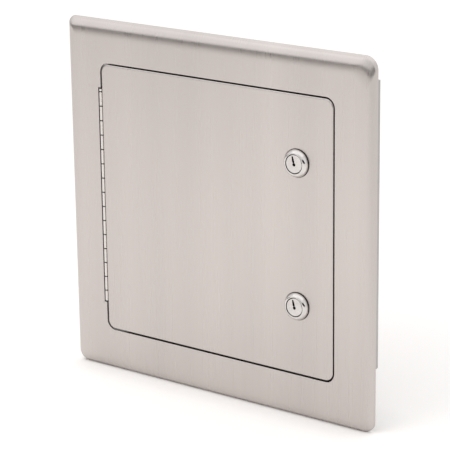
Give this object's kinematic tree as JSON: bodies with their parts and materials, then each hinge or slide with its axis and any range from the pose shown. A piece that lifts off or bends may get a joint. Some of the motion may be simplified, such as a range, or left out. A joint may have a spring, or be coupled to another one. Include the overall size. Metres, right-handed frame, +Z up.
{
  "type": "rv water heater access door",
  "caption": "Square stainless access door with a rolled-edge face flange, a shallow rear collar, a flush door on a continuous hinge and keyed cam locks.",
  "frame": {"origin": "centre of the opening on the wall plane, which is the plane of the face flange's back rim", "axes": "+X to the right seen from the front, +Y into the wall, +Z up; the front faces -Y"},
  "size_m": [0.3112, 0.0648, 0.3112],
  "materials": {
    "brushed_stainless": "fine brushed, warm grey",
    "frame_steel": "mill finish",
    "hinge_steel": "satin",
    "lock_chrome": "polished chrome",
    "lock_plated": "bright zinc plate"
  },
  "bodies": {
    "frame": {"face_flange": "brushed_stainless", "collar_top": "frame_steel", "collar_bottom": "frame_steel", "collar_latch_side": "frame_steel", "collar_hinge_side": "frame_steel", "stop_top": "frame_steel", "stop_bottom": "frame_steel", "latch_strike": "frame_steel", "hinge_frame_leaf": "hinge_steel", "hinge_pin": "hinge_steel"},
    "door": {"door_panel": "brushed_stainless", "hinge_door_leaf": "hinge_steel", "upper_lock_body": "lock_chrome", "upper_lock_nut": "lock_plated", "lower_lock_body": "lock_chrome", "lower_lock_nut": "lock_plated"},
    "upper_lock": {"upper_lock_plug": "lock_chrome", "upper_lock_cam": "lock_plated", "upper_lock_screw": "lock_plated"},
    "lower_lock": {"lower_lock_plug": "lock_chrome", "lower_lock_cam": "lock_plated", "lower_lock_screw": "lock_plated"}
  },
  "joints": [
    {"name": "door_swing", "type": "hinge", "parent": "frame", "child": "door", "pos_m": [-0.11985, -0.0052, 0.0012], "axis": [0, 0, -1], "range_deg": [0, 105]},
    {"name": "upper_lock_turn", "type": "hinge", "parent": "door", "child": "upper_lock", "pos_m": [0.08325, 0.00875, 0.06153], "axis": [0, -1, 0], "range_deg": [0, 90]},
    {"name": "lower_lock_turn", "type": "hinge", "parent": "door", "child": "lower_lock", "pos_m": [0.08325, 0.00875, -0.05912], "axis": [0, -1, 0], "range_deg": [0, 90]}
  ]
}
